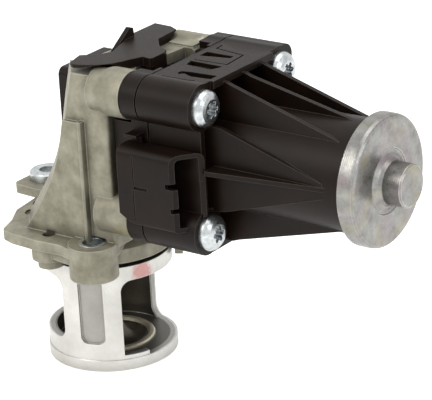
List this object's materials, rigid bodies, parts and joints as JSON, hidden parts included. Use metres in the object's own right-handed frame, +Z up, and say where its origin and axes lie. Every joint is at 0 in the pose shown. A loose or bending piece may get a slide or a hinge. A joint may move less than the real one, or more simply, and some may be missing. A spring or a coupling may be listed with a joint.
{
  "type": "egr valve",
  "caption": "Electric exhaust gas recirculation valve: cast body with ported cage and poppet, and a geared motor in a ribbed plastic housing with a plug connector.",
  "frame": {"origin": "on the valve stem's axis, at the lower face of the valve cage", "axes": "+Z up the stem, from the cage to the linkage; +X along the motor's axis, from the valve body towards the motor's end cap; +Y to the side away from the connector"},
  "size_m": [0.1579, 0.0646, 0.1119],
  "materials": {
    "cast_aluminium": "as cast, grey with an olive tint",
    "machined_aluminium": "turned, with as-cast pockets",
    "seat_steel": "hardened and ground seat ring",
    "graphite_ring": "pressed graphite seal, dull",
    "sintered_bronze": "sintered, dull",
    "seal_rubber": "matte black",
    "stainless_sheet": "pressed sheet",
    "zinc_steel": "zinc plated, bluish",
    "zinc_cap": "turned steel, zinc plated, with faint yellow and pink tints",
    "spring_steel": "oiled wire",
    "case_plastic": "moulded glass-filled, satin brown-black",
    "gear_plastic": "moulded, natural",
    "tinned_brass": "tinned",
    "circuit_board": "green board",
    "ferrite": "sintered ferrite, dull",
    "carbon": "carbon",
    "ground_steel": "ground",
    "valve_steel": "heat-resisting steel, ground stem",
    "lamination_steel": "stacked sheets",
    "enamelled_copper": "enamelled wire",
    "commutator_copper": "bright copper"
  },
  "bodies": {
    "housing": {"valve_body": "cast_aluminium", "valve_cage": "machined_aluminium", "valve_seat": "seat_steel", "cage_seal": "graphite_ring", "stem_guide": "sintered_bronze", "stem_seal": "seal_rubber", "soot_shield": "stainless_sheet", "flange_bush": "zinc_steel", "rear_lug_bush": "zinc_steel", "shaft_bushes": "sintered_bronze", "shaft_seal": "seal_rubber", "return_spring": "spring_steel", "gear_case": "case_plastic", "case_gasket": "seal_rubber", "motor_housing": "case_plastic", "connector_shroud": "case_plastic", "connector_terminals": "tinned_brass", "sensor_board": "circuit_board", "end_cap": "zinc_cap", "end_bearing": "sintered_bronze", "drive_bearing": "sintered_bronze", "motor_can": "zinc_steel", "field_magnets": "ferrite", "brush_plate": "case_plastic", "brushes": "carbon", "housing_screws": "zinc_steel", "intermediate_axle": "ground_steel", "top_cover": "case_plastic", "rear_cover": "case_plastic"},
    "valve": {"poppet_valve": "valve_steel", "stem_yoke": "ground_steel"},
    "output": {"output_shaft": "ground_steel", "crank_lever": "ground_steel", "crank_roller": "ground_steel", "sector_gear": "gear_plastic", "sensor_magnet": "ferrite"},
    "intermediate": {"intermediate_gear": "gear_plastic"},
    "rotor": {"motor_shaft": "ground_steel", "motor_pinion": "ground_steel", "armature_core": "lamination_steel", "armature_windings": "enamelled_copper", "commutator": "commutator_copper"}
  },
  "joints": [
    {"name": "rotor_spin", "type": "hinge", "parent": "housing", "child": "rotor", "pos_m": [0.06, 0.002, 0.0786], "axis": [1, 0, 0], "range_deg": [0, 434.52]},
    {"name": "intermediate_spin", "type": "hinge", "parent": "housing", "child": "intermediate", "pos_m": [0.04, 0.00108, 0.06463], "axis": [1, 0, 0], "range_deg": [-144.97, 0.2]},
    {"name": "output_turn", "type": "hinge", "parent": "housing", "child": "output", "pos_m": [0.02, 0.012, 0.086], "axis": [1, 0, 0], "range_deg": [0, 28.98], "deforming": ["return_spring"]},
    {"name": "valve_lift", "type": "slide", "parent": "housing", "child": "valve", "axis": [0, 0, -1], "range_m": [0, 0.006], "stiffness_N_per_m": 142, "springref_m": -0.0178}
  ],
  "couplings": [
    {"joint": "rotor_spin", "follows": "valve_lift", "rad_per_m": 1263.4},
    {"joint": "intermediate_spin", "follows": "valve_lift", "rad_per_m": -421.13},
    {"joint": "output_turn", "follows": "valve_lift", "rad_per_m": 84.227}
  ]
}
